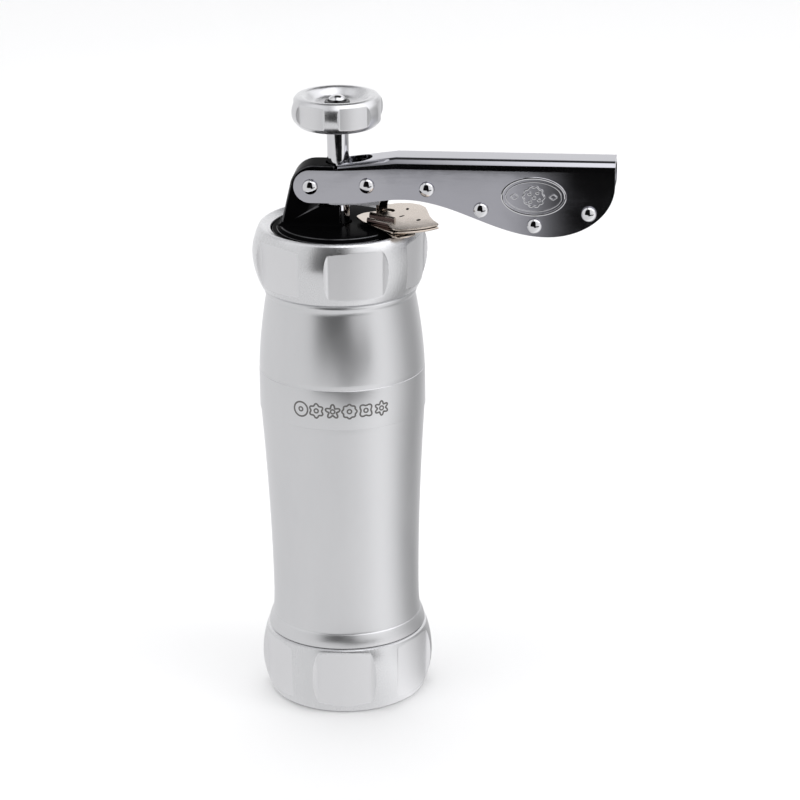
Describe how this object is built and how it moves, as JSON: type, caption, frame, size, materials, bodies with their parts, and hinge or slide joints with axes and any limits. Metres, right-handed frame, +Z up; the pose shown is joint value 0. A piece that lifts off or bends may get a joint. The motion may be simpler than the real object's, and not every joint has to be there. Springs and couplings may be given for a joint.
{
  "type": "cookie press",
  "caption": "Hand-lever cookie press: a waisted aluminium barrel with fluted screw rings, a knobbed plunger rod and a riveted channel lever that drives it down.",
  "frame": {"origin": "on the standing plane, under the middle of the whole press's box; the barrel's axis is at x = -34.25 mm, y = 0", "axes": "+Z up along the barrel's axis, +X from the barrel towards the lever's free end, Y along the lever's rivets"},
  "size_m": [0.1324, 0.0636, 0.2311],
  "materials": {
    "satin_aluminium": "fine satin anodised, clear",
    "chrome": "bright chrome plate on polished steel",
    "bright_steel": "bright rolled steel",
    "nickel": "warm nickel plate on pressed steel sheet",
    "gloss_black": "gloss black enamel on a casting",
    "nylon": "turned natural nylon"
  },
  "bodies": {
    "barrel_and_head": {"barrel": "satin_aluminium", "head_cap": "gloss_black", "rod_bush": "nylon", "bush_clip": "bright_steel", "selector_rivet": "nickel"},
    "bottom_ring": {"bottom_ring": "satin_aluminium", "die_disc": "bright_steel"},
    "top_ring": {"top_ring": "satin_aluminium"},
    "plunger": {"plunger_rod": "chrome", "knob": "satin_aluminium", "knob_nut": "chrome", "piston": "satin_aluminium", "piston_washer": "bright_steel", "piston_nut": "bright_steel"},
    "lever": {"lever_channel": "chrome", "pivot_rivet": "chrome", "drive_rivet": "chrome", "drive_roller": "bright_steel", "lever_rivet_1": "chrome", "lever_rivet_2": "chrome", "lever_rivet_3": "chrome", "lever_rivet_4": "chrome", "lever_spacer_1": "bright_steel", "lever_spacer_2": "bright_steel", "lever_spacer_3": "bright_steel", "lever_spacer_4": "bright_steel"},
    "drive_plate": {"drive_plate": "bright_steel"},
    "selector": {"selector_plate": "nickel"}
  },
  "joints": [
    {"name": "lever_hinge", "type": "hinge", "parent": "barrel_and_head", "child": "lever", "pos_m": [-0.04375, 0, 0.1985], "axis": [0, -1, 0], "range_deg": [0, 16]},
    {"name": "plunger_slide", "type": "slide", "parent": "barrel_and_head", "child": "plunger", "axis": [0, 0, 1], "range_m": [0, 0.148]},
    {"name": "drive_plate_slide", "type": "slide", "parent": "barrel_and_head", "child": "drive_plate", "axis": [0, 0, 1], "range_m": [0, 0.0058]},
    {"name": "selector_swivel", "type": "hinge", "parent": "barrel_and_head", "child": "selector", "pos_m": [-0.01685, 0.0034, 0.1846], "axis": [0, 0, 1], "range_deg": [-24, 0]},
    {"name": "top_ring_turn", "type": "hinge", "parent": "barrel_and_head", "child": "top_ring", "pos_m": [-0.03425, 0, 0.16], "axis": [0, 0, 1], "range_deg": [0, 1350]},
    {"name": "bottom_ring_turn", "type": "hinge", "parent": "barrel_and_head", "child": "bottom_ring", "pos_m": [-0.03425, 0, 0], "axis": [0, 0, 1], "range_deg": [0, 1350]}
  ],
  "couplings": [
    {"joint": "drive_plate_slide", "follows": "lever_hinge", "m_per_rad": 0.0202}
  ]
}
